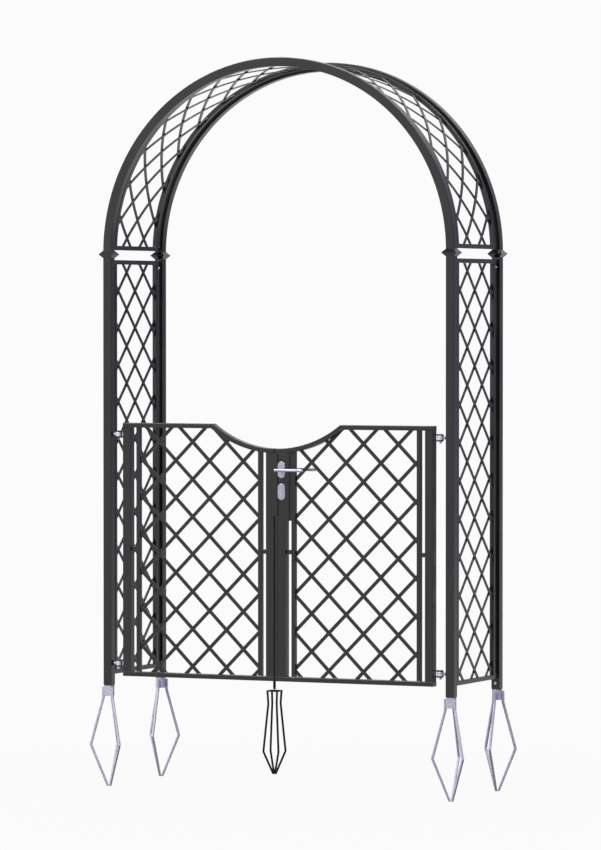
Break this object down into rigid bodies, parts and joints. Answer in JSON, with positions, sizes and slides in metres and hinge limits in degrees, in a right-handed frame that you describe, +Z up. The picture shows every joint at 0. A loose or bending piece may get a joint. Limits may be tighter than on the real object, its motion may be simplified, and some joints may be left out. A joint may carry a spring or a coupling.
{
  "type": "garden arch with gate",
  "caption": "Round-topped steel garden arch on square posts with diamond lattice sides and roof, a double gate with scooped top rails, lever lock, drop bolt and ground anchors.",
  "frame": {"origin": "on the ground, midway between the four posts", "axes": "+X to the right along the gate seen from its front, +Y from the gate to the back of the arch, +Z up"},
  "size_m": [1.8616, 0.6517, 3.311],
  "materials": {
    "anthracite_coat": "semi-matt anthracite powder coat",
    "hot_dip_zinc": "hot-dip galvanised, dull silver grey",
    "bright_steel": "bright zinc-plated steel",
    "satin_metal": "satin silver",
    "dark_zinc": "dark plated steel",
    "lock_brass": "nickel-plated brass"
  },
  "bodies": {
    "frame": {"post_front_left": "anthracite_coat", "post_front_right": "anthracite_coat", "post_back_left": "anthracite_coat", "post_back_right": "anthracite_coat", "hoop_front_left": "anthracite_coat", "hoop_front_right": "anthracite_coat", "hoop_back_left": "anthracite_coat", "hoop_back_right": "anthracite_coat", "post_collars": "anthracite_coat", "post_sleeves": "hot_dip_zinc", "apex_sleeves": "hot_dip_zinc", "side_frame_left": "anthracite_coat", "side_frame_right": "anthracite_coat", "side_lattice_left": "anthracite_coat", "side_lattice_right": "anthracite_coat", "arch_frame_left": "anthracite_coat", "arch_frame_right": "anthracite_coat", "arch_lattice_left": "anthracite_coat", "arch_lattice_right": "anthracite_coat", "anchor_front_left": "hot_dip_zinc", "anchor_front_right": "hot_dip_zinc", "anchor_back_left": "hot_dip_zinc", "anchor_back_right": "hot_dip_zinc", "post_screws": "bright_steel", "hinge_eyes": "bright_steel", "hinge_washers": "dark_zinc", "socket_ring": "anthracite_coat", "socket_rods": "anthracite_coat"},
    "left_leaf": {"left_hinge_stile": "anthracite_coat", "left_meeting_stile": "anthracite_coat", "left_inner_bars": "anthracite_coat", "left_top_rail": "anthracite_coat", "left_bottom_rail": "anthracite_coat", "left_lattice": "anthracite_coat", "left_spacers": "anthracite_coat", "left_hinge_ears": "anthracite_coat", "left_hinge_pins": "bright_steel", "lock_keep": "anthracite_coat", "bolt_guides": "anthracite_coat"},
    "drop_bolt": {"drop_bolt": "anthracite_coat"},
    "right_leaf": {"right_hinge_stile": "anthracite_coat", "right_meeting_stile": "anthracite_coat", "right_inner_bars": "anthracite_coat", "right_top_rail": "anthracite_coat", "right_bottom_rail": "anthracite_coat", "right_lattice": "anthracite_coat", "right_spacers": "anthracite_coat", "right_hinge_ears": "anthracite_coat", "right_hinge_pins": "bright_steel", "meeting_strip": "anthracite_coat", "lock_case": "anthracite_coat", "handle_plates": "satin_metal", "lock_cylinder": "lock_brass"},
    "lever": {"lever_front": "satin_metal", "lever_back": "satin_metal", "spindle": "dark_zinc", "lock_follower": "dark_zinc"},
    "latch": {"latch_bolt": "satin_metal"},
    "dead_bolt": {"dead_bolt": "satin_metal"},
    "plug": {"cylinder_plug": "lock_brass"}
  },
  "joints": [
    {"name": "left_leaf_swing", "type": "hinge", "parent": "frame", "child": "left_leaf", "pos_m": [-0.798, -0.2625, 0.624], "axis": [0, 0, 1], "range_deg": [-105, 90]},
    {"name": "right_leaf_swing", "type": "hinge", "parent": "frame", "child": "right_leaf", "pos_m": [0.798, -0.2625, 0.624], "axis": [0, 0, -1], "range_deg": [-105, 90]},
    {"name": "drop_bolt_slide", "type": "slide", "parent": "left_leaf", "child": "drop_bolt", "axis": [0, 0, 1], "range_m": [-0.05, 0.03]},
    {"name": "lever_turn", "type": "hinge", "parent": "right_leaf", "child": "lever", "pos_m": [0.0307, -0.2625, 0.995], "axis": [0, 1, 0], "range_deg": [0, 35], "stiffness_Nm_per_rad": 1, "springref_deg": -34.38},
    {"name": "latch_slide", "type": "slide", "parent": "right_leaf", "child": "latch", "axis": [1, 0, 0], "range_m": [0, 0.0135]},
    {"name": "key_turn", "type": "hinge", "parent": "right_leaf", "child": "plug", "pos_m": [0.0307, -0.2625, 0.8965], "axis": [0, 1, 0], "range_deg": [0, 360]},
    {"name": "dead_bolt_slide", "type": "slide", "parent": "right_leaf", "child": "dead_bolt", "axis": [-1, 0, 0], "range_m": [0, 0.02]}
  ],
  "couplings": [
    {"joint": "latch_slide", "follows": "lever_turn", "m_per_rad": 0.022},
    {"joint": "key_turn", "follows": "dead_bolt_slide", "rad_per_m": 314}
  ]
}
